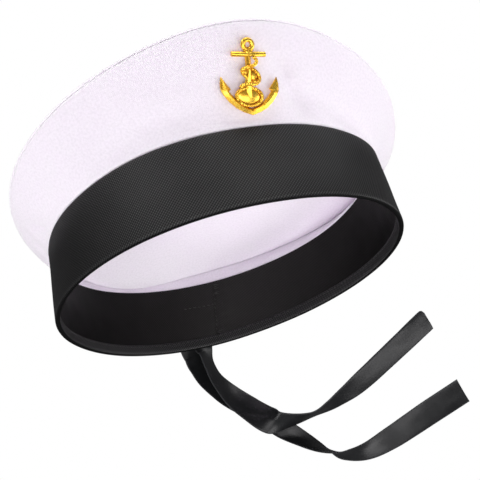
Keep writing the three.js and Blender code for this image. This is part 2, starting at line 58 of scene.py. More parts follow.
# The camera stands below the rim and rolls with the cap; aimPixel is where the cap's origin falls.
camera = {
    "lens": 64.3,
    "sensor": 36,
    "frameWidth": 480,
    "distance": 450,
    "azimuth": -17.3,
    "elevation": -19.9,
    "roll": -17.1,
    "aimPixel": (233.5, 286.6),
}


def makeCamera():
    focal = camera["lens"] / camera["sensor"] * camera["frameWidth"]
    side, rise, roll = (radians(camera[k]) for k in ("azimuth", "elevation", "roll"))
    level = cos(rise)
    back = Vector((sin(side) * level, -cos(side) * level, sin(rise)))
    right = (-back).cross(Vector((0, 0, 1))).normalized()
    up = right.cross(-back)
    rolledRight = right * cos(roll) + up * sin(roll)
    rolledUp = up * cos(roll) - right * sin(roll)
    half = camera["frameWidth"] / 2
    aim = Vector((camera["aimPixel"][0] - half, half - camera["aimPixel"][1], focal)).normalized()
    swing = Vector((0, 0, 1)).rotation_difference(aim).to_matrix()
    axes = swing @ Matrix((rolledRight, rolledUp, -back))
    turned = Matrix((axes[0], axes[1], -axes[2])).transposed().to_4x4()
    data = bpy.data.cameras.new("photoCamera")
    data.lens = camera["lens"]
    data.sensor_width = camera["sensor"]
    data.clip_start = 0.01
    data.clip_end = 50
    cameraObject = addObject("photoCamera", data)
    cameraObject.matrix_world = Matrix.Translation(back * camera["distance"] * mm) @ turned
    bpy.context.scene.camera = cameraObject


makeCamera()
print("camera in place")

studio = {
    "ambient": 0.18,
    "ambientColour": (0.985, 0.975, 1.0, 1),
    "reflected": 0.09,  # what shiny surfaces see of the room
    "target": Vector((0, 0, 0.02)),
    "distance": 1.2,
    "size": 0.55,
    "lightColour": (1, 0.99, 1),
    "lights": (
        # name, degrees round the cap, degrees up, watts
        ("frontLow", 245, -35, 4.1),
        ("frontRightLow", 275, -50, 3.5),
        ("frontRightHigh", 277, 42, 5.6),
        ("frontLeftHigh", 215, 42, 5.0),
        ("leftLow", 185, -35, 4.2),
        ("backLeftLow", 150, -35, 4.3),
        ("right", 5, -10, 2.6),
        ("rightLow", 335, -35, 3.6),
        ("rightHigh", 335, 50, 3.9),
        ("rightBelow", 5, -65, 4.0),
        ("above", 75, 60, 2.6),
    ),
}


def makeWorld():
    # plain white to the camera, dim to reflections, soft light from all around otherwise
    world = bpy.data.worlds.new("studioWorld")
    bpy.context.scene.world = world
    world.use_nodes = True
    nodes, links = world.node_tree.nodes, world.node_tree.links
    nodes.clear()
    colour = studio["ambientColour"]
    shades = []
    for strength, tint in ((studio["ambient"], colour), (studio["reflected"], colour), (1, (1, 1, 1, 1))):
        shade = nodes.new("ShaderNodeBackground")
        shade.inputs["Color"].default_value = tint
        shade.inputs["Strength"].default_value = strength
        shades.append(shade.outputs[0])
    path = nodes.new("ShaderNodeLightPath")
    seen = shades[0]
    for ray, shade in (("Is Glossy Ray", shades[1]), ("Is Camera Ray", shades[2])):
        mix = nodes.new("ShaderNodeMixShader")
        links.new(path.outputs[ray], mix.inputs[0])
        links.new(seen, mix.inputs[1])
        links.new(shade, mix.inputs[2])
        seen = mix.outputs[0]
    links.new(seen, nodes.new("ShaderNodeOutputWorld").inputs["Surface"])


def makeLights():
    for name, turn, rise, watts in studio["lights"]:
        data = bpy.data.lights.new(name, "AREA")
        data.size = studio["size"]
        data.energy = watts
        data.color = studio["lightColour"]
        light = addObject(name, data)
        turn, rise = radians(turn), radians(rise)
        way = Vector((cos(turn) * cos(rise), sin(turn) * cos(rise), sin(rise)))
        light.location = studio["target"] + way * studio["distance"]
        light.rotation_euler = (-way).to_track_quat("-Z", "Y").to_euler()
        light.visible_camera = False


bpy.context.scene.view_settings.view_transform = "Standard"
makeWorld()
makeLights()
print("studio lit")


def newMaterial(name):
    material = bpy.data.materials.new(name)
    material.use_nodes = True
    tree = material.node_tree
    return material, tree, tree.nodes["Principled BSDF"]


def addNode(tree, kind, values=None, **settings):
    node = tree.nodes.new("ShaderNode" + kind)
    for key, value in settings.items():
        setattr(node, key, value)
    for key, value in (values or {}).items():
        node.inputs[key].default_value = value
    return node


def feed(tree, sockets, values):
    # a value is another node's output, a colour or a number
    for key, value in values.items():
        if isinstance(value, bpy.types.NodeSocket):
            tree.links.new(value, sockets[key])
        else:
            colour = isinstance(value, tuple) and sockets[key].type == "RGBA"
            sockets[key].default_value = (*value, 1) if colour else value


def addMath(tree, operation, first, second):
    node = addNode(tree, "Math", operation=operation)
    feed(tree, node.inputs, {0: first, 1: second})
    return node.outputs[0]


def addShare(tree, base, value, share):
    # the base and a share of a value
    return addMath(tree, "ADD", base, addMath(tree, "MULTIPLY", value, share))


def bands(tree, coordinate, pitch, slant, distort=0.0):
    # even ridges of one pitch in metres, 0 to 1
    turn = addNode(tree, "Mapping", {"Rotation": (0, 0, radians(slant))})
    values = {"Scale": 2 * pi / (20 * pitch), "Distortion": distort, "Detail": 1.0}
    wave = addNode(tree, "TexWave", values, wave_type="BANDS", bands_direction="X", wave_profile="SIN")
    tree.links.new(coordinate, turn.inputs["Vector"])
    tree.links.new(turn.outputs[0], wave.inputs["Vector"])
    return wave.outputs["Fac"]


def patches(tree, coordinate, size, detail):
    # soft uneven patches of about one size in metres
    cloud = addNode(tree, "TexNoise", {"Scale": 1 / size, "Detail": detail, "Roughness": 0.55})
    tree.links.new(coordinate, cloud.inputs["Vector"])
    return cloud.outputs["Fac"]


def ramp(tree, factor, stops):
    # stops are places and greys
    node = addNode(tree, "ValToRGB")
    elements = node.color_ramp.elements
    while len(elements) < len(stops):
        elements.new(0.5)
    for element, (place, grey) in zip(elements, stops):
        element.position = place
        element.color = (grey, grey, grey, 1)
    tree.links.new(factor, node.inputs["Fac"])
    return node.outputs["Color"]


def mixColour(tree, factor, low, high, blend="MIX"):
    node = addNode(tree, "Mix", data_type="RGBA", blend_type=blend)
    feed(tree, node.inputs, {"Factor": factor, "A": low, "B": high})
    return next(out for out in node.outputs if out.type == "RGBA")


def bump(tree, shader, height, distance, strength=1.0, under=None):
    node = addNode(tree, "Bump", {"Strength": strength, "Distance": distance})
    tree.links.new(height, node.inputs["Height"])
    if under is not None:
        tree.links.new(under, node.inputs["Normal"])
    tree.links.new(node.outputs[0], shader.inputs["Normal"])
    return node.outputs[0]


def clothCoordinate(tree):
    return addNode(tree, "UVMap", uv_map="cloth").outputs[0]


def separate(tree, coordinate=None):
    # the X, Y and Z of a coordinate, of the object's own unless another is given
    parts = addNode(tree, "SeparateXYZ")
    if coordinate is None:
        coordinate = addNode(tree, "TexCoord").outputs["Object"]
    tree.links.new(coordinate, parts.inputs[0])
    return parts.outputs


twills = {
    "whiteTwill": {
        "light": (0.93, 0.885, 0.945),
        "dark": (0.86, 0.80, 0.88),
        "soft": (0.90, 0.845, 0.92),
        "pitch": 0.0007,
        "angle": 45,
        "relief": 0.00006,
        "contrast": 0.35,
        "roughness": 0.86,
        "sheen": 0.1,
        "specular": 0.15,
        "through": 1.0,
        "throughDepth": 0.0016,
    },
    "blackTwill": {
        "light": (0.012, 0.012, 0.0125),
        "dark": (0.0004, 0.0004, 0.0005),
        "soft": (0.0009, 0.0009, 0.001),
        "pitch": 0.00105,
        "angle": 45,
        "relief": 0.0001,
        "contrast": 1.0,
        "roughness": 0.48,
        "sheen": 0.0,
        "specular": 0.38,
        "glint": 1.5,
        # painted shade along the lower edge and a painted highlight strip above it, over this height
        "fold": ((0.08, 0.25), (0.16, 1.4), (0.36, 1.4), (0.5, 1)),
        "foldReach": 0.004,
    },
    "innerCloth": {
        "light": (0.0062, 0.0047, 0.0036),
        "dark": (0.0015, 0.0011, 0.0008),
        "soft": (0.0026, 0.0019, 0.0014),
        "pitch": 0.0009,
        "angle": 45,
        "relief": 0.00004,
        "contrast": 0.7,
        "roughness": 0.5,
        "sheen": 0.0,
        "specular": 0.42,
        "glint": 0.8,
        # painted light and shade on the lining, lightest at the back, and the way the ramp runs
        "paintedShadeRamp": ((0.28, 0.22), (0.5, 0.26), (0.7, 0.42), (0.87, 0.66), (1, 1)),
        "paintedShadeWay": (3.3, 10.2),
    },
}


def makeTwill(name):
    look = twills[name]
    material, tree, shader = newMaterial(name)
    cloth = clothCoordinate(tree)
    rising = bands(tree, cloth, look["pitch"], look["angle"], 0.15)
    falling = bands(tree, cloth, look["pitch"], -look["angle"], 0.15)
    crossed = addShare(tree, 0.35, falling, 0.65)
    weave = addMath(tree, "MULTIPLY", rising, crossed)
    wear = patches(tree, cloth, 0.03, 3)
    fibre = patches(tree, cloth, 0.0012, 4)
    base = mixColour(tree, wear, look["dark"], look["soft"])
    tint = mixColour(tree, addMath(tree, "MULTIPLY", weave, look["contrast"]), base, look["light"])
    spotted = ramp(tree, fibre, ((0.25, 0.9), (0.6, 1)))
    colour = mixColour(tree, 1.0, tint, spotted, "MULTIPLY")
    shine = look["specular"]
    if "glint" in look:
        # the raised threads shine more than the hollows between them
        gloss = addShare(tree, 1 - look["glint"] / 3, weave, look["glint"])
        shine = addMath(tree, "MULTIPLY", gloss, shine)
    paintedShading = []
    if "paintedShadeRamp" in look:
        # painted light and shade: the lining is painted lightest at the back beside its seam, where the
        # light falls, and darker away from it
        parts = separate(tree)
        along = addMath(tree, "MULTIPLY", parts["X"], look["paintedShadeWay"][0])
        along = addShare(tree, along, parts["Y"], look["paintedShadeWay"][1])
        paintedShading.append(ramp(tree, along, look["paintedShadeRamp"]))
    if "fold" in look:
        # the folded lower edge: painted shade as a dark line at the very edge, with a painted highlight
        # strip above it where the rounded edge would catch light
        height = addMath(tree, "MULTIPLY", separate(tree)["Z"], 1 / look["foldReach"])
        tone = ramp(tree, height, [(place, grey / 2) for place, grey in look["fold"]])
        paintedShading.append(addMath(tree, "MULTIPLY", tone, 2))
    # the painted light and shade multiply both the colour and the shine
    for tone in paintedShading:
        colour = mixColour(tree, 1.0, colour, tone, "MULTIPLY")
        shine = addMath(tree, "MULTIPLY", shine, tone)
    values = {
        "Base Color": colour,
        "Roughness": addShare(tree, look["roughness"] - 0.05, fibre, 0.1),
        "Specular IOR Level": shine,
        "Sheen Weight": look["sheen"],
        "Sheen Roughness": 0.45,
    }
    if "through" in look:
        # thin cotton lets some light through
        values["Subsurface Weight"] = look["through"]
        values["Subsurface Radius"] = (1.0, 0.95, 1.0)
        values["Subsurface Scale"] = look["throughDepth"]
    feed(tree, shader.inputs, values)
    slub = bump(tree, shader, wear, 0.0006, 0.35)
    bump(tree, shader, weave, look["relief"], 1.0, slub)
    return material


satin = {
    "selvageStart": 0.007392,  # from the ribbon's middle
    "light": (0.014, 0.0145, 0.0155),
    "dark": (0.005, 0.0053, 0.006),
    "selvage": (0.022, 0.023, 0.025),
    "rib": 0.00042,
    "relief": 0.00003,
    "roughness": 0.28,
    "specular": 0.3,
}


def makeSatin():
    material, tree, shader = newMaterial("blackSatin")
    cloth = clothCoordinate(tree)
    ribs = bands(tree, cloth, satin["rib"], 90, 0.3)
    lengthwise = bands(tree, cloth, satin["rib"] * 0.7, 0, 0.5)
    streak = patches(tree, cloth, 0.011, 2)
    fromMiddle = addMath(tree, "ABSOLUTE", separate(tree, cloth)["X"], 0)
    edge = addMath(tree, "GREATER_THAN", fromMiddle, satin["selvageStart"])
    tone = mixColour(tree, streak, satin["dark"], satin["light"])
    fine = mixColour(tree, addMath(tree, "MULTIPLY", lengthwise, 0.4), tone, satin["light"])
    values = {
        "Base Color": mixColour(tree, edge, fine, satin["selvage"]),
        "Roughness": addShare(tree, addShare(tree, satin["roughness"], edge, 0.2), streak, 0.12),
        "Specular IOR Level": satin["specular"],
        "Anisotropic": 0.4,
    }
    feed(tree, shader.inputs, values)
    height = addShare(tree, addMath(tree, "MULTIPLY", ribs, 0.3), edge, 1.5)
    bump(tree, shader, height, satin["relief"])
    return material


metals = {
    "gilt": {
        "pale": (1.0, 0.63, 0.07),
        "deep": (0.9, 0.44, 0.03),
        # painted shade for the badge's hollows, and how far it looks for them
        "paintedHollowShade": (0.42, 0.16, 0.008),
        "paintedHollowReach": 0.0016,
        "metallic": 0.75,
        "roughness": 0.24,
        "grain": 0.0011,
    },
    "clutchMetal": {
        "pale": (0.72, 0.69, 0.6),
        "deep": (0.5, 0.46, 0.38),
        "metallic": 1.0,
        "roughness": 0.32,
        "grain": 0.0008,
    },
}


def makeMetal(name):
    look = metals[name]
    material, tree, shader = newMaterial(name)
    place = addNode(tree, "TexCoord").outputs["Object"]
    tarnish = patches(tree, place, 0.004, 3)
    grain = patches(tree, place, look["grain"], 4)
    clean = ramp(tree, tarnish, ((0.3, 0), (0.55, 1)))
    colour = mixColour(tree, clean, look["deep"], look["pale"])
    if "paintedHollowShade" in look:
        # painted shade: the hollows are darkened to orange-brown by how closed in they are
        shade = addNode(tree, "AmbientOcclusion", {"Distance": look["paintedHollowReach"]}, samples=8)
        openness = ramp(tree, shade.outputs["AO"], ((0.35, 0), (0.85, 1)))
        colour = mixColour(tree, openness, look["paintedHollowShade"], colour)
    values = {
        "Base Color": colour,
        "Roughness": addShare(tree, look["roughness"] - 0.06, grain, 0.16),
        "Metallic": look["metallic"],
    }
    feed(tree, shader.inputs, values)
    bump(tree, shader, grain, 0.00004, 0.3)
    return material


def makeThread(name, light, dark):
    # twisted sewing thread
    material, tree, shader = newMaterial(name)
    place = addNode(tree, "TexCoord").outputs["Object"]
    ply = bands(tree, place, 0.0004, 35)
    feed(tree, shader.inputs, {"Base Color": mixColour(tree, ply, dark, light), "Roughness": 0.6})
    bump(tree, shader, ply, 0.00005)
    return material


whiteTwill = makeTwill("whiteTwill")
blackTwill = makeTwill("blackTwill")
innerCloth = makeTwill("innerCloth")
blackSatin = makeSatin()
gilt = makeMetal("gilt")
clutchMetal = makeMetal("clutchMetal")
darkThread = makeThread("darkThread", (0.03, 0.028, 0.026), (0.008, 0.008, 0.008))
print("materials made")


def finishPiece(bm, name, material, node=None):
    mesh = bpy.data.meshes.new(name)
    bm.to_mesh(mesh)
    bm.free()
    mesh.materials.append(material)
    mesh.shade_smooth()
    piece = addObject(name, mesh)
    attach(piece, "root")
    if node:
        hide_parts(node)
    return piece


# The cap's own form, in millimetres
cap = {
    "rimRadius": 94,
    "bandTopRadius": 91,
    "bandHeight": 38.5,
    "crownRadius": 110,
    "crownRise": 37.5,
    "crownDome": 3.5,
    "seamGap": 0.3,
    "roundSteps": 360,
    "backSeam": 92,  # degrees, where the lengths of cloth are joined
}

# Every 30 degrees from +X towards the back: shares of the three radii, and of the crown's rise.
around = table(
    "rim bandTop crown rise",
    (0.99, 0.975, 1.01, 0.44),
    (0.98, 0.985, 0.97, 0.31),
    (0.995, 0.99, 0.915, 0.31),
    (1.03, 0.995, 0.875, 0.27),
    (1.01, 1.0, 0.88, 0.19),
    (0.985, 0.99, 0.895, 0.37),
    (0.99, 0.98, 0.94, 0.57),
    (1.005, 1.005, 1.0, 0.73),
    (1.0, 1.035, 1.065, 0.86),
    (0.99, 1.015, 1.085, 1.0),
    (1.0, 1.02, 1.03, 0.94),
    (1.0, 1.03, 1.015, 0.68),
)


def catmull(before, start, end, after, t):
    line = end - before
    bend = 2 * before - 5 * start + 4 * end - after
    twist = 3 * start - before - 3 * end + after
    return 0.5 * (2 * start + line * t + bend * t * t + twist * t * t * t)


def shareAt(column, angle):
    place = angle / (2 * pi) % 1 * len(around)
    row = floor(place)
    before, start, end, after = (around[(row + k) % len(around)][column] for k in (-1, 0, 1, 2))
    return catmull(before, start, end, after, place - row)


def alongRows(rows, column, place):
    row = min(floor(place), len(rows) - 2)
    picked = (rows[min(max(row + k, 0), len(rows) - 1)][column] for k in (-1, 0, 1, 2))
    return catmull(*picked, place - row)


def clamp(value):
    return min(max(value, 0), 1)


def noiseRound(angle, scale, z):
    # smooth noise round the cap, -1 to 1
    return noise.noise(Vector((cos(angle) * scale, sin(angle) * scale, z)))


def toMetres(angle, radius, z):
    return Vector((radius * cos(angle), radius * sin(angle), z)) * mm


def bandRadius(angle, z):
    low = cap["rimRadius"] * shareAt("rim", angle)
    high = cap["bandTopRadius"] * shareAt("bandTop", angle)
    return low + (high - low) * z / cap["bandHeight"]


def bandWave(angle, z):
    # the slight waviness that all layers of the band share, held still at its two seams
    hold = sin(pi * clamp(z / cap["bandHeight"]))
    return 0.45 * noiseRound(angle, 3.2, z * 0.05) * (0.25 + 0.75 * hold)


def crownEdge(angle):
    radius = cap["crownRadius"] * shareAt("crown", angle)
    return radius, cap["bandHeight"] + cap["seamGap"] + cap["crownRise"] * shareAt("rise", angle)


middleRise = sum(row["rise"] for row in around) / len(around)


def topUnderside(angle, share):
    middle = cap["bandHeight"] + cap["seamGap"] + cap["crownRise"] * middleRise
    return middle + (crownEdge(angle)[1] - middle) * share + cap["crownDome"] * (1 - share * share)


def spinRound(bm, verts, edges, steps):
    bmesh.ops.spin(
        bm,
        geom=verts + edges,
        axis=(0, 0, 1),
        cent=(0, 0, 0),
        angle=2 * pi,
        steps=steps,
        use_merge=True,
    )


def spinRows(count, closed, place, lay):
    # Spins one edge per row of an outline, with row numbers for heights until the corners are placed:
    # place gives a corner's point and lay its place on the flat cloth, both from its row and angle.
    bm = bmesh.new()
    verts = [bm.verts.new((1, 0, row)) for row in range(count)]
    pairs = list(zip(verts, verts[1:])) + ([(verts[-1], verts[0])] if closed else [])
    edges = [bm.edges.new(pair) for pair in pairs]
    spinRound(bm, verts, edges, cap["roundSteps"])
    seam = radians(cap["backSeam"])
    sheet = bm.loops.layers.uv.new("cloth")
    for face in bm.faces:
        turns = [(atan2(v.co.y, v.co.x) - seam) % (2 * pi) for v in face.verts]
        if max(turns) - min(turns) > pi:
            turns = [t + 2 * pi if t < pi else t for t in turns]
        for loop, turn in zip(face.loops, turns):
            loop[sheet].uv = lay(round(loop.vert.co.z), turn + seam)
    for vert in bm.verts:
        vert.co = place(round(vert.co.z), atan2(vert.co.y, vert.co.x))
    bmesh.ops.remove_doubles(bm, verts=bm.verts, dist=1e-6)
    bmesh.ops.recalc_face_normals(bm, faces=bm.faces)
    return bm


sidePanel = {
    "thickness": 1.2,
    "footRun": 0.9,  # rounded stretch at the band seam
    "edgeRun": 1.6,  # rounded stretch at the crown's edge
    "middleRows": 40,
    "pucker": 0.16,
    "wave": 0.7,
    "lining": 0.4,  # how far the lining's edge stands in, and how much further at the back
    "facing": 2.4,
    "liningTilt": 0.33,
}

sideProfile = table(
    "up out",
    (0, 0),
    (0.1, 0.05),
    (0.26, 0.215),
    (0.45, 0.445),
    (0.65, 0.66),
    (0.84, 0.86),
    (1, 1),
)

# Folds of the side panel run from one place to another: degrees and share of the height,
# with their half width and depth in millimetres.
sideFolds = [
    ((214, 0.2), (236, 0.2), 4.2, 1.2),
    ((234, 0.2), (264, 0.22), 4.0, 1.5),
    ((278.5, 0.7), (284, 0.4), 3.8, 2.5),
    ((283, 0.42), (291, 0.12), 3.6, 3.3),
    ((288, 0.34), (303, 0.22), 4.4, 1.9),
    ((300, 0.22), (318, 0.14), 3.4, 2.0),
    ((196, 0.6), (210, 0.3), 5.5, 1.0),
    ((185, 0.52), (190, 0.14), 2.4, 1.6),
    ((179, 0.6), (171, 0.1), 3.5, 1.3),
    ((326, 0.18), (341, 0.62), 5.0, 1.2),
    ((354, 0.3), (2, 0.8), 4.0, 1.0),
    ((20, 0.2), (12, 0.75), 3.5, 1.0),
    ((48, 0.6), (57, 0.15), 3.0, 0.8),
    ((78, 0.3), (71, 0.85), 2.6, 0.5),
    ((102, 0.2), (97, 0.85), 2.6, 0.5),
    ((120, 0.45), (129, 0.85), 3.0, 0.7),
    ((150, 0.2), (142, 0.8), 3.2, 0.9),
]


def panelOut(up):
    # the profile's reach at one height, found by halving
    low, high = 0.0, len(sideProfile) - 1.0
    for _ in range(18):
        half = (low + high) / 2
        if alongRows(sideProfile, "up", half) < up:
            low = half
        else:
            high = half
    return alongRows(sideProfile, "out", low)


outSteps = 200
outShares = [panelOut(k / outSteps) for k in range(outSteps + 1)]


def quickOut(up):
    place = clamp(up) * outSteps
    row = min(int(place), outSteps - 1)
    return outShares[row] + (outShares[row + 1] - outShares[row]) * (place - row)


def sideFrame(angle):
    # the panel's foot, its edge and its slanted height at one angle
    foot = bandRadius(angle, cap["bandHeight"])
    low = cap["bandHeight"] + cap["seamGap"]
    radius, z = crownEdge(angle)
    height = z - cap["seamGap"] - low
    return foot, low, radius, height, hypot(radius - foot, height)


def foldDepth(angle, up, length):
    # how deep all folds are at one point, from its distance to the line along each fold
    depth, reach = 0, 100
    for start, end, wide, deep in sideFolds:
        halfTurn = ((end[0] - start[0] + 180) % 360 - 180) / 2
        turn = (angle - radians(start[0] + halfTurn) + pi) % (2 * pi) - pi
        if abs(turn) > 0.7:
            continue
        halfTurn = radians(halfTurn)
        x, y = (turn + halfTurn) * reach, (up - start[1]) * length
        endX, endY = 2 * halfTurn * reach, (end[1] - start[1]) * length
        t = clamp((x * endX + y * endY) / (endX**2 + endY**2))
        away = hypot(x - t * endX, y - t * endY)
        taper = 0.45 + 0.55 * sin(pi * t)
        depth += deep * taper * exp(-0.5 * (away / wide) ** 2)
    calm = min(1, up * length / 4) * min(1, (1 - up) * length / 5)
    swell = noiseRound(angle, 2.6, up * 1.3 + 4)
    return (depth + sidePanel["wave"] * swell) * calm


def seamPucker(angle, distance):
    # fine gathers where the cloth is sewn, gone a few millimetres away from the stitches
    return sidePanel["pucker"] * noiseRound(angle, 21, 7) * exp(-distance / 4.5)


def sidePlace(angle, run, depth):
    # run is the distance up the cloth, depth the distance in from its face
    foot, low, radius, height, length = sideFrame(angle)
    up = run / length
    base = foot + (radius - foot) * quickOut(up)
    step = 0.02
    below, above = max(up - step, 0), min(up + step, 1)
    rise = height * (above - below)
    flare = (radius - foot) * (quickOut(above) - quickOut(below))
    size = hypot(rise, flare)
    sunk = depth + foldDepth(angle, up, length)
    sunk += seamPucker(angle, run) + seamPucker(angle + 1, length - run)
    return base - sunk * rise / size, low + height * up + sunk * flare / size


def makeSidePanel():
    thick = sidePanel["thickness"]
    footRun, edgeRun, count = sidePanel["footRun"], sidePanel["edgeRun"], sidePanel["middleRows"]
    # rows are the share of the middle stretch, then millimetres beyond it, then the depth
    outer = [(0, -0.85, 0.62), (0, -0.6, 0.22)]
    outer += [(k / count, 0, 0) for k in range(count + 1)]
    edge = [(1, 0.6, 0.06), (1, 1.1, 0.28), (1, 1.45, 0.62), (1, 1.5, 0.95), (1, 1.2, thick)]
    inwards = len(outer) + len(edge)
    inner = [(k / count, 0, thick) for k in range(count, -1, -1)]
    rows = outer + edge + inner + [(0, -0.75, thick), (0, -0.9, 0.9)]

    def runAt(row, angle):
        share, beyond, _ = rows[row]
        return footRun + (sideFrame(angle)[4] - footRun - edgeRun) * share + beyond

    def place(row, angle):
        radius, z = sidePlace(angle, runAt(row, angle), rows[row][2])
        if row >= inwards:
            inset = sidePanel["lining"] + sidePanel["facing"] * turnedAbout(angle, 88, 62, 4)
            inset *= rows[row][0] ** 1.3
            radius, z = radius - inset, z + sidePanel["liningTilt"] * inset
        return toMetres(angle, radius, z)

    def lay(row, angle):
        return angle * 0.1, runAt(row, angle) * mm

    bm = spinRows(len(rows), True, place, lay)
    return finishPiece(bm, "crownSideCloth", whiteTwill, "crown_side")


topPanel = {
    "thickness": 1.5,
    "rings": 34,
    "ripple": 0.22,
    "sag": 0.5,
    "hang": 2.8,  # how far the underside hangs along the edge, and how much more at its left
    "hangLeft": 5.4,
    "hangReach": 26,
}


def topHeight(angle, radius, lift):
    edge = crownEdge(angle)[0]
    share = radius / edge
    inwards = edge - radius
    ripple = noiseRound(angle, 12, 2)
    height = topPanel["ripple"] * ripple * exp(-inwards / 9) * min(1, inwards / 1.2)
    spot = Vector((cos(angle) * radius * 0.022, sin(angle) * radius * 0.022, 1))
    height += topPanel["sag"] * 2 * noise.noise(spot) * (1 - share**4)
    return topUnderside(angle, share) + lift + height


def makeTopPanel():
    thick, rings = topPanel["thickness"], topPanel["rings"]
    # rows are the share of the radius, millimetres taken off it, and the lift above the underside
    upper = [(k / rings, 0, thick) for k in range(rings)]
    rim = [(1, 1.5, thick), (1, 0.9, 1.44), (1, 0.4, 1.22), (1, 0.12, 0.9), (1, 0.14, 0.6)]
    rim += [(1, 0.4, 0.32), (1, 0.9, 0.12), (1, 1.6, 0)]
    lower = [(k / rings, 0, 0) for k in range(rings - 1, -1, -1)]
    rows = upper + rim + lower

    def hangAt(row, angle):
        # the underside leaves the side panel a little below the edge and is flat further in
        away = (crownEdge(angle)[0] - radiusAt(row, angle)) * 0.85
        left = 1 / (1 + exp(-(degrees(angle) % 360 - 96) / 5))
        most = topPanel["hang"] + topPanel["hangLeft"] * left
        sink = away * most / (away**3 + most**3) ** (1 / 3) if away > 0 else 0
        return sink * turnedAbout(angle, 105, 80, 4) * exp(-((away / topPanel["hangReach"]) ** 2))

    def radiusAt(row, angle):
        share, off, _ = rows[row]
        return crownEdge(angle)[0] * share - off

    def place(row, angle):
        radius = radiusAt(row, angle)
        hang = hangAt(row, angle) if row >= len(upper + rim) else 0
        return toMetres(angle, radius, topHeight(angle, radius, rows[row][2]) - hang)

    def lay(row, angle):
        radius = radiusAt(row, angle) * mm
        return radius * cos(angle), radius * sin(angle)

    bm = spinRows(len(rows), False, place, lay)
    return finishPiece(bm, "crownTopCloth", whiteTwill, "crown_top")


sideCloth = makeSidePanel()
topCloth = makeTopPanel()
print("crown made")

band = {"cloth": 0.8, "groove": 2.05, "hemTop": 6, "hemCloth": 0.6, "wallRows": 22}
innerBand = {"face": 1.95, "back": 1.3, "foot": 1.15, "top": 39.2, "wallRows": 40}


def bandPlace(angle, z, deep):
    return toMetres(angle, bandRadius(angle, z) - deep + bandWave(angle, z), z)


def runsAlong(rows):
    # how far each row is along its outline, so that the weave keeps its scale round the edges
    runs = [0.0]
    for before, after in zip(rows, rows[1:]):
        runs.append(runs[-1] + dist(before, after))
    return runs


def makeBand():
    count, cloth, groove, top = (band[k] for k in ("wallRows", "cloth", "groove", "hemTop"))
    inside = groove + band["hemCloth"]
    # rows are the height and the depth in from the band's face, from the hidden groove outwards
    rows = [(0.9, 1.5), (0.8, groove - 0.1), (1.2, groove), (3.4, groove), (top - 0.6, groove)]
    rows += [(top - 0.12, groove + 0.1), (top, groove + 0.3), (top - 0.12, inside - 0.1)]
    rows += [(top - 0.5, inside), (4.2, inside), (2.6, inside), (1.4, inside), (0.8, inside - 0.03)]
    rows += [(0.4, inside - 0.16), (0.12, inside - 0.45), (0, inside - 0.9), (0, 1.1)]
    rows += [(0.08, 0.6), (0.3, 0.25), (0.7, 0.05)]
    rows += [(1.2 + 36.7 * k / count, 0) for k in range(count + 1)]
    rows += [(38.35, 0.08), (38.6, 0.28), (38.6, 0.55), (38.3, 0.75)]
    rows += [(z, cloth) for z in (37.7, 28, 18, 8, 1.4)]
    runs = runsAlong(rows)

    def place(row, angle):
        return bandPlace(angle, *rows[row])

    def lay(row, angle):
        return angle * 0.092, runs[row] * mm

    bm = spinRows(len(rows), True, place, lay)
    return finishPiece(bm, "bandCloth", blackTwill, "band")


# The inner band's seam leans a little: its degrees at the foot and at the top.
innerSeam = {"foot": 83.6, "top": 79.2, "wide": 0.8, "deep": 1.1}


def innerSeamAngle(z):
    share = (z - innerBand["foot"]) / (innerBand["top"] - innerBand["foot"])
    wander = 0.35 * noise.noise(Vector((z * 0.25, 3, 5)))
    return radians(innerSeam["foot"] + (innerSeam["top"] - innerSeam["foot"]) * share + wander)


def seamDent(angle, z):
    # a narrow valley at the seam, with a soft ridge on both sides of it
    away = ((angle - innerSeamAngle(z) + pi) % (2 * pi) - pi) * cap["rimRadius"]
    if abs(away) > 14:
        return 0
    valley = innerSeam["deep"] * exp(-0.5 * (away / innerSeam["wide"]) ** 2)
    puff = 0.32 * exp(-0.5 * ((abs(away) - 2.4) / 1.4) ** 2)
    gather = 0.14 * sin(z * 1.25) * exp(-abs(away) / 5)
    return valley - puff + gather


def makeInnerBand():
    face, back, foot, top = (innerBand[k] for k in ("face", "back", "foot", "top"))
    count = innerBand["wallRows"]
    up = [foot + 0.3 + (top - foot - 0.9) * k / count for k in range(count + 1)]
    rows = [(z, back) for z in (foot + 0.4, 14, 26, top - 0.6)]
    rows += [(top - 0.12, back + 0.25), (top, (face + back) / 2), (top - 0.15, face - 0.2)]
    rows += [(z, face) for z in reversed(up)]
    rows += [(foot, face - 0.4), (foot, back + 0.4)]

    def place(row, angle):
        z, deep = rows[row]
        if deep == face:
            hold = min(1, (z - foot) / 6, (top - z) / 3)
            deep -= seamDent(angle, z) + 0.18 * noiseRound(angle, 9, z * 0.12) * hold
        return bandPlace(angle, z, deep)

    def lay(row, angle):
        return angle * 0.09, rows[row][0] * mm

    bm = spinRows(len(rows), True, place, lay)
    return finishPiece(bm, "innerBandCloth", innerCloth, "inner_band")


bandCloth = makeBand()
innerBandCloth = makeInnerBand()
print("bands made")


def addStitch(bm, start, end, out, thick):
    # one rounded stitch between two points, its middle lifted a little off the cloth
    along = end - start
    across = along.cross(out).normalized()
    proud = across.cross(along).normalized()
    turned = Matrix((along.normalized(), across, proud)).transposed().to_4x4()
    shape = Matrix.Diagonal((along.length / 2, thick * mm / 2, thick * mm / 2, 1))
    middle = Matrix.Translation((start + end) / 2)
    bmesh.ops.create_uvsphere(bm, u_segments=6, v_segments=6, radius=1, matrix=middle @ turned @ shape)


stitching = {
    "hem": {"z": 4.9, "pitch": 3.1, "length": 2.1, "thick": 0.45},
    "mend": {"z": 25.6, "from": 95, "to": 81.6, "count": 7, "half": 0.0115, "thick": 0.5},
    "tack": {"places": (36.6, 35.5, 34.4, 31.8, 30.9, 6.8, 7.9), "half": 0.02, "thick": 0.5},
    "seam": {"z": 9.5, "pitch": 2.6, "count": 9, "away": 0.017, "half": 0.85, "thick": 0.38},
    "ribbon": {"places": (0.25, 1.2), "pitch": 2.1, "length": 1.5, "thick": 0.4},
}


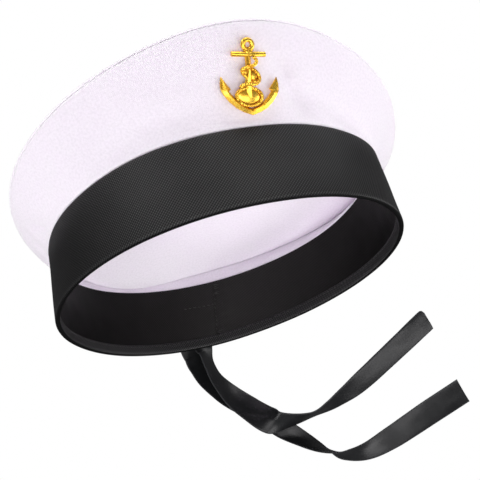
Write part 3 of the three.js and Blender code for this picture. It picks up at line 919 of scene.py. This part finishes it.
def addBandStitch(bm, turn, z, deep, halfTurn, halfRise, thick):
    # its half length is in radians along the band and in millimetres up it
    start, end = (bandPlace(turn + side * halfTurn, z + side * halfRise, deep) for side in (-1, 1))
    addStitch(bm, start, end, Vector((-cos(turn), -sin(turn), 0)), thick)


def makeHemStitches():
    look = stitching["hem"]
    bm = bmesh.new()
    count = round(2 * pi * cap["rimRadius"] / look["pitch"])
    deep = band["groove"] + band["hemCloth"] + 0.06
    half = look["length"] / cap["rimRadius"] / 2
    for k in range(count):
        addBandStitch(bm, 2 * pi * k / count, look["z"], deep, half, 0, look["thick"])
    finishPiece(bm, "hemStitches", darkThread)


def makeInnerStitches():
    # a short mend beside the seam, tacks across its top and foot, and a line along it
    bm = bmesh.new()
    mend, tack, seam = (stitching[k] for k in ("mend", "tack", "seam"))
    face = innerBand["face"] + 0.1
    for k in range(mend["count"]):
        share = (k + 0.5) / mend["count"]
        turn = radians(mend["from"] + (mend["to"] - mend["from"]) * share)
        z = mend["z"] - 0.8 * share + 0.35 * noise.noise(Vector((k * 1.7, 1, 1)))
        addBandStitch(bm, turn, z, face, mend["half"], 0.15, mend["thick"])
    for z in tack["places"]:
        lean = 0.35 * sin(z * 2.1)
        addBandStitch(bm, innerSeamAngle(z), z, face, tack["half"], lean, tack["thick"])
    for k in range(seam["count"]):
        z = seam["z"] + k * seam["pitch"]
        turn = innerSeamAngle(z) + seam["away"]
        addBandStitch(bm, turn, z, face + 0.1, 0, seam["half"], seam["thick"])
    finishPiece(bm, "innerBandStitches", darkThread)


makeHemStitches()
makeInnerStitches()
print("stitches made")

ribbon = {
    "width": 16,
    "cloth": 0.5,
    "sweep": 155,
    "fall": 88,
    "swing": 16,
    "seat": 0.8,  # from the band's face to the middle of the first layer
    "layer": 1.3,
    "rows": 300,
    "columns": 20,
    "cup": 0.35,
    "ripple": 0.25,
    "settleFrom": 12,  # the sewn start is flat; the cloth is at ease this far on
    "settleOver": 25,
    "roll": 0.3,  # how far the woven edges turn back
    "edge": 0.12,
    "corner": 3.2,  # radius of the one rounded corner
}

upperTail = table(
    "sweep fall swing turn lean",
    (0.01, -0.17, 0, 0, 0),
    (0.01, -0.1, 0, 0, 0),
    (0.012, -0.045, 0.12, 12, 6),
    (0.012, -0.001, 0.265, 40, 15),
    (0.014, 0.088, 0.357, 52, 18),
    (0.032, 0.208, 0.439, 45, 12),
    (0.075, 0.349, 0.49, 21, 10),
    (0.128, 0.469, 0.47, 1, 16),
    (0.181, 0.584, 0.3, -24, 25),
    (0.228, 0.625, 0.27, -51, 18),
    (0.341, 0.639, 0.2, -72, 3),
    (0.433, 0.606, 0.1, -117, 7),
    (0.505, 0.56, -0.03, -130, 16),
    (0.609, 0.483, -0.125, -139, 28),
    (0.77, 0.342, -0.259, -145, 31),
    (0.977, 0.156, -0.308, -149, 37),
)
lowerTail = table(
    "sweep fall swing turn lean",
    (-0.042, -0.17, 0, 4, 0),
    (-0.042, -0.1, 0, 4, 0),
    (-0.04, -0.045, 0.16, 10, 2),
    (-0.031, 0.003, 0.355, 22, 3),
    (-0.019, 0.066, 0.622, 22, 4),
    (0.003, 0.163, 0.776, 21, 5),
    (0.04, 0.258, 0.886, 22, 15),
    (0.089, 0.352, 0.975, 21, 34),
    (0.178, 0.492, 0.97, 22, 40),
    (0.253, 0.639, 0.925, 25, 40),
    (0.318, 0.755, 0.763, 42, 35),
    (0.365, 0.836, 0.62, 56, 24),
    (0.406, 0.896, 0.485, 69, 8),
    (0.452, 0.941, 0.367, 78, -10),
    (0.53, 0.961, 0.128, 70, -33),
    (0.649, 0.921, -0.035, 55, -50),
    (0.829, 0.828, -0.222, 34, -57),
    (0.999, 0.743, -0.531, 29, -61),
)

# Curls are (row, rows wide, millimetres deep). Creases are the same, with the row at the
# ribbon's middle and how many rows the crease runs on from there to its edge.
tails = {
    "upperRibbon": {
        "rows": upperTail,
        "layer": 0,
        "node": "ribbon_upper",
        "curls": ((10.5, 0.9, 0.6),),
        "creases": ((7.47, 0.5, 0.8, 1.12),),
        "roundCorner": 1,
    },
    "lowerRibbon": {
        "rows": lowerTail,
        "layer": 1,
        "node": "ribbon_lower",
        "curls": ((12.2, 1.2, 1.2),),
        "creases": (),
        "roundCorner": 0,
    },
}


def ribbonMiddle(tail, place):
    rows = tail["rows"]
    z = -ribbon["fall"] * alongRows(rows, "fall", place)
    seat = bandRadius(pi / 2, max(z, 0)) + ribbon["seat"] + tail["layer"] * ribbon["layer"]
    y = seat + ribbon["swing"] * alongRows(rows, "swing", place)
    return Vector((ribbon["sweep"] * alongRows(rows, "sweep", place), y, z))


def ribbonAxes(tail, place):
    # the ribbon's middle, the direction of its width and the direction of its face
    turn, lean = (radians(alongRows(tail["rows"], k, place)) for k in ("turn", "lean"))
    ahead = ribbonMiddle(tail, min(place + 0.05, len(tail["rows"]) - 1))
    way = (ahead - ribbonMiddle(tail, max(place - 0.05, 0))).normalized()
    level = cos(lean)
    across = Vector((level * cos(turn), level * sin(turn), sin(lean)))
    across = (across - across.dot(way) * way).normalized()
    return ribbonMiddle(tail, place), across, across.cross(way)


def ribbonRelief(tail, place, side):
    # how far the cloth stands off the ribbon's middle plane, in millimetres
    height = 0
    for at, wide, deep in tail["curls"]:
        height += deep * (side * side - 0.33) * exp(-(((place - at) / wide) ** 2))
    for at, wide, deep, tilt in tail["creases"]:
        away = hypot(place - at - tilt * side, 0.05)
        height += deep * exp(-away / wide) * exp(-(((place - at) / 1.6) ** 2))
    return height


def makeRibbon(name):
    tail = tails[name]
    last, count, half = len(tail["rows"]) - 1, ribbon["rows"], ribbon["width"] / 2
    bm = bmesh.new()
    made = bmesh.ops.create_grid(bm, x_segments=ribbon["columns"], y_segments=count, size=0.5)
    spine = [ribbonAxes(tail, last * k / count) for k in range(count + 1)]
    lengths = [0.0]
    for k in range(count):
        lengths.append(lengths[-1] + (spine[k + 1][0] - spine[k][0]).length)

    def sideAt(vert, k):
        # columns crowd towards the edges; one corner of the free end may be cut round
        x = vert.co.x * 2
        side = copysign(1 - (1 - abs(x)) ** 1.7, x)
        left = ribbon["corner"] - (lengths[-1] - lengths[k])
        if left > 0 and side * tail["roundCorner"] > 0:
            side *= 1 - (ribbon["corner"] - sqrt(ribbon["corner"] ** 2 - left**2)) / half
        return side

    sheet = bm.loops.layers.uv.new("cloth")
    for face in bm.faces:
        for loop in face.loops:
            k = round((loop.vert.co.y + 0.5) * count)
            loop[sheet].uv = (sideAt(loop.vert, k) * half * mm, lengths[k] * mm)
    for vert in made["verts"]:
        k = round((vert.co.y + 0.5) * count)
        middle, across, face = spine[k]
        side = sideAt(vert, k)
        spot = Vector((side * 1.2, lengths[k] * 0.07, 9 + tail["layer"]))
        ripple = ribbon["ripple"] * noise.noise(spot)
        settle = min(1, max(lengths[k] - ribbon["settleFrom"], 0) / ribbon["settleOver"])
        roll = ribbon["roll"] * (max(abs(side) - 0.9, 0) / 0.1) ** 2
        height = (ribbon["cup"] * (side * side - 0.33) + ripple) * settle
        height += ribbonRelief(tail, last * k / count, side) + roll
        vert.co = (middle + across * side * half + face * height) * mm
    bmesh.ops.recalc_face_normals(bm, faces=bm.faces)
    piece = finishPiece(bm, name, blackSatin, tail["node"])
    wall = piece.modifiers.new("cloth", "SOLIDIFY")
    wall.thickness, wall.offset = ribbon["cloth"] * mm, 0
    soften = piece.modifiers.new("edges", "BEVEL")
    soften.width, soften.segments, soften.limit_method = ribbon["edge"] * mm, 2, "ANGLE"
    print(name, "is", round(lengths[-1]), "mm long")


def makeRibbonStitches():
    # two lines of stitches hold the start of each ribbon on the band
    look = stitching["ribbon"]
    bm = bmesh.new()
    for tail in tails.values():
        for at in look["places"]:
            middle, across, face = ribbonAxes(tail, at)
            out = face if face.y > 0 else -face
            count = floor((ribbon["width"] - 2) / look["pitch"])
            for k in range(count + 1):
                x = (k - count / 2) * look["pitch"]
                ends = (middle + across * (x + reach) + out * 0.32 for reach in (-0.75, 0.75))
                start, end = (point * mm for point in ends)
                addStitch(bm, start, end, out, look["thick"])
    finishPiece(bm, "ribbonStitches", darkThread)


makeRibbon("upperRibbon")
makeRibbon("lowerRibbon")
makeRibbonStitches()
print("ribbons made")

# Badge, modelled flat in millimetres: x across, y up and z out of the cloth

badge = {
    "height": 34,
    "width": 27.4,
    "relief": 2.3,
    "bend": 120,
    "lift": 0.92,
    "turn": 270 + degrees(2.6 / 110),
    "rise": 0.475,
    "skew": 5.5,  # degrees by which its cross lines drop to the right
    "eyeRadius": 3.2,
    "eyeHole": 1.05,
    "eyeFoot": (2.4, 1.3, 0.9),
    "stockLength": 16,
    "stockRise": 0.285,
    "stockThickness": 2.3,
    "ropeThickness": 1.6,
    "ropeTwists": 8,
    "ringTwists": 15,
    "stud": 1.0,
    "studEnd": -4.66,
}

anchorArm = table(
    "outX outUp inX inUp ridge",
    (0, -0.5, 0, -0.412, 1),
    (0.3, -0.458, 0.2, -0.388, 1),
    (0.52, -0.408, 0.36, -0.347, 1),
    (0.74, -0.332, 0.535, -0.285, 1),
    (0.92, -0.238, 0.67, -0.226, 0.95),
    (0.975, -0.19, 0.735, -0.187, 0.9),
    (1, -0.165, 0.66, -0.165, 0.8),
    (1, -0.09, 0.82, -0.082, 0.55),
    (0.96, -0.006, 0.945, -0.008, 0.3),
)

halfWide, tall, relief = badge["width"] / 2, badge["height"], badge["relief"]

# The rope's two stretches that show, and the thin metal that fills its bends.
ropeWays = [
    table(
        "x up out",
        (0.14, 0.25, 0.8),
        (0.22, 0.215, 0.95),
        (0.19, 0.176, 1.2),
        (0.07, 0.144, 1.5),
        (-0.085, 0.125, 1.45),
        (-0.213, 0.106, 0.9),
        (-0.262, 0.079, 0.45),
        (-0.232, 0.037, 0.4),
        (-0.153, 0.004, 0.4),
        (-0.06, -0.023, 0.35),
    ),
    table(
        "x up out",
        (0.06, 0.102, 0.35),
        (0.174, 0.083, 0.4),
        (0.274, 0.041, 0.4),
        (0.322, -0.009, 0.45),
        (0.274, -0.051, 0.8),
        (0.155, -0.084, 1.35),
        (-0.02, -0.099, 1.5),
        (-0.192, -0.099, 1.25),
        (-0.3, -0.114, 0.6),
        (-0.345, -0.144, 0.5),
    ),
]
ropeWebs = table(
    "x up halfWide halfHigh",
    (-0.12, 0.06, 0.14, 0.055),
    (0.16, 0.005, 0.16, 0.08),
)
ropeLoop = {"x": -0.065, "up": -0.259, "halfWide": 0.438, "halfHigh": 0.116, "out": 0.5}
shank = table(
    "up left right out",
    (0.36, 0.1, 0.1, 1),
    (0.22, 0.1, 0.09, 1),
    (0.03, 0.095, 0.08, 0.95),
    (-0.13, 0.2, 0.09, 0.9),
    (-0.22, 0.2, 0.08, 0.82),
    (-0.27, 0.18, 0.08, 0.76),
    (-0.31, 0.16, 0.08, 0.5),
)


def bridgeRings(bm, rings):
    # rings of points are joined in turn, and the open ends are filled
    loops = []
    for ring in rings:
        verts = [bm.verts.new(point) for point in ring]
        loops.append([bm.edges.new((a, b)) for a, b in zip(verts, verts[1:] + verts[:1])])
    for first, second in zip(loops, loops[1:]):
        bmesh.ops.bridge_loops(bm, edges=first + second)
    for loop in (loops[0], loops[-1]):
        bmesh.ops.contextual_create(bm, geom=loop)


def addArms(bm):
    def section(row, side):
        outer = Vector((side * halfWide * row["outX"], tall * row["outUp"], 0))
        inner = Vector((side * halfWide * row["inX"], tall * row["inUp"], 0))
        ridge = outer.lerp(inner, 0.6)
        top = relief * row["ridge"]
        rise = Vector((0, 0, 1))
        return [
            outer,
            outer + rise * top * 0.62,
            outer.lerp(ridge, 0.1) + rise * top * 0.78,
            ridge + rise * top,
            inner.lerp(ridge, 0.12) + rise * top * 0.52,
            inner + rise * top * 0.4,
            inner,
        ]

    left = [section(row, -1) for row in reversed(anchorArm[1:])]
    bridgeRings(bm, left + [section(row, 1) for row in anchorArm])


def addShank(bm):
    rings = []
    for row in shank:
        left, right = row["left"] * halfWide, row["right"] * halfWide
        y = tall * row["up"]
        ring = ((-left, 0), (-left, 0.5), (-left * 0.85, 0.68), (-left * 0.3, 1.0))
        ring += ((right * 0.1, 1.0), (right * 0.8, 0.55), (right, 0.4), (right, 0))
        rings.append([Vector((x, y, relief * row["out"] * z)) for x, z in ring])
    bridgeRings(bm, rings)


def addRound(bm, centre, radius, wire):
    # a ring of round wire
    start = len(bm.verts)
    made = bmesh.ops.create_circle(bm, segments=14, radius=wire)
    verts = made["verts"]
    bmesh.ops.rotate(bm, verts=verts, cent=(0, 0, 0), matrix=Matrix.Rotation(pi / 2, 3, "X"))
    bmesh.ops.translate(bm, verts=verts, vec=(radius, 0, 0))
    edges = list({edge for vert in verts for edge in vert.link_edges})
    spinRound(bm, verts, edges, 48)
    bm.verts.ensure_lookup_table()
    bmesh.ops.translate(bm, verts=bm.verts[start:], vec=centre)


def addBar(bm, length, radius, centre, along):
    # a round bar with softened ends
    made = bmesh.ops.create_cone(
        bm, cap_ends=True, segments=16, radius1=radius, radius2=radius, depth=length
    )
    verts = made["verts"]
    ends = list({e for v in verts for e in v.link_edges if abs(e.verts[0].co.z - e.verts[1].co.z) < 1e-6})
    turned = Vector((0, 0, 1)).rotation_difference(Vector(along)).to_matrix()
    soft = bmesh.ops.bevel(
        bm, geom=ends, offset=radius * 0.25, affect="EDGES", segments=2, profile=0.5, material=-1
    )
    verts = list({v for v in verts if v.is_valid} | set(soft["verts"]))
    bmesh.ops.rotate(bm, verts=verts, cent=(0, 0, 0), matrix=turned)
    bmesh.ops.translate(bm, verts=verts, vec=centre)


def addStrands(bm, points, closed, twists):
    # three strands laid round the rope's middle line, each a tube drawn by a curve
    thick, count = badge["ropeThickness"], len(points)
    for strand in range(3):
        data = bpy.data.curves.new("ropeStrand", "CURVE")
        data.dimensions = "3D"
        data.bevel_depth = thick * 0.27
        data.bevel_resolution = 2
        data.use_fill_caps = not closed
        line = data.splines.new("POLY")
        line.points.add(count - 1)
        line.use_cyclic_u = closed
        for k, point in enumerate(points):
            ahead = points[(k + 1) % count] if closed else points[min(k + 1, count - 1)]
            behind = points[k - 1] if closed else points[max(k - 1, 0)]
            way = (ahead - behind).normalized()
            side = way.cross(Vector((0, 0, 1))).normalized()
            over = side.cross(way)
            phase = 2 * pi * (twists * k / (count if closed else count - 1) + strand / 3)
            offset = (side * cos(phase) + over * sin(phase)) * thick * 0.25
            line.points[k].co = (*(point + offset), 1)
        drawn = bpy.data.objects.new("ropeStrand", data)
        mesh = bpy.data.meshes.new_from_object(drawn)
        bm.from_mesh(mesh)
        bpy.data.objects.remove(drawn)
        bpy.data.meshes.remove(mesh)
        bpy.data.curves.remove(data)


def addRope(bm):
    lift, count = badge["ropeThickness"] / 4, 90
    for way in ropeWays:
        last = len(way) - 1
        points = []
        for k in range(count + 1):
            x, up, out = (alongRows(way, c, last * k / count) for c in ("x", "up", "out"))
            points.append(Vector((halfWide * x, tall * up, relief * out + lift)))
        addStrands(bm, points, False, badge["ropeTwists"])
    ring = []
    steps = 120
    for k in range(steps):
        turn = 2 * pi * k / steps
        x = halfWide * (ropeLoop["x"] + ropeLoop["halfWide"] * cos(turn))
        y = tall * (ropeLoop["up"] + ropeLoop["halfHigh"] * sin(turn))
        ring.append(Vector((x, y, relief * ropeLoop["out"])))
    addStrands(bm, ring, True, badge["ringTwists"])


def addBall(bm, segments, size, centre):
    # a ball with its own half size each way
    shape = Matrix.Translation(centre) @ Matrix.Diagonal((*size, 1))
    steps = {"u_segments": segments, "v_segments": segments // 2}
    return bmesh.ops.create_uvsphere(bm, radius=1, matrix=shape, **steps)["verts"]


def addPad(bm, row, segments, grow, thick, z):
    size = (halfWide * row["halfWide"] * grow, tall * row["halfHigh"] * grow, thick)
    return addBall(bm, segments, size, (halfWide * row["x"], tall * row["up"], z))


def addDisc(bm):
    # the dome inside the rope's ring, and the thin metal in the rope's bends
    for vert in addPad(bm, ropeLoop, 40, 1, 1, 0):
        rise = vert.co.z * (0.75 if vert.co.z > 0 else 0.2) + 0.2
        vert.co.z = rise * relief * 0.75
    for web in ropeWebs:
        addPad(bm, web, 24, 1.1, 0.9, 0.35)


def badgeMatrix():
    turn = radians(badge["turn"])

    def at(rise):
        foot, low, radius, height, _ = sideFrame(turn)
        up = clamp(rise)
        reach = foot + (radius - foot) * quickOut(up)
        return toMetres(turn, reach, low + height * up) / mm

    middle = at(badge["rise"])
    up = (at(badge["rise"] + 0.3) - at(badge["rise"] - 0.3)).normalized()
    out = Vector((-sin(turn), cos(turn), 0)).cross(up).normalized()
    across = up.cross(out)
    axes = Matrix((across, up, out)).transposed().to_4x4()
    return Matrix.Scale(mm, 4) @ Matrix.Translation(middle) @ axes


def makeBadge():
    bm = bmesh.new()
    addArms(bm)
    addShank(bm)
    wire = (badge["eyeRadius"] - badge["eyeHole"]) / 2
    addRound(bm, (0, tall / 2 - badge["eyeRadius"], wire), badge["eyeHole"] + wire, wire)
    stockPlace = (0, tall * badge["stockRise"], relief * 0.6)
    addBar(bm, badge["stockLength"], badge["stockThickness"] / 2, stockPlace, (1, 0, 0))
    eyeBottom = tall / 2 - 2 * badge["eyeRadius"]
    addBall(bm, 20, badge["eyeFoot"], (0, eyeBottom + 0.9, 1.1))
    addBar(bm, relief * 0.9, badge["eyeHole"] * 1.35, (0, eyeBottom, relief * 0.5), (0, 0, 1))
    addRope(bm)
    addDisc(bm)
    drop = tan(radians(badge["skew"]))
    for vert in bm.verts:
        vert.co.y -= vert.co.x * drop
        vert.co.z += badge["lift"] - vert.co.x**2 / (2 * badge["bend"])
    studLength = badge["lift"] + 1 - badge["studEnd"]
    addBar(bm, studLength, badge["stud"], (0, 0, badge["studEnd"] + studLength / 2), (0, 0, 1))
    bmesh.ops.recalc_face_normals(bm, faces=bm.faces)
    bmesh.ops.transform(bm, matrix=badgeMatrix(), verts=bm.verts)
    piece = finishPiece(bm, "anchorBadge", gilt, "badge_anchor")
    piece.data.set_sharp_from_angle(angle=radians(38))


makeBadge()
clutch = bpy.data.objects["badge_clutch"]
clutch.data.materials.clear()
clutch.data.materials.append(clutchMetal)
print("badge made")
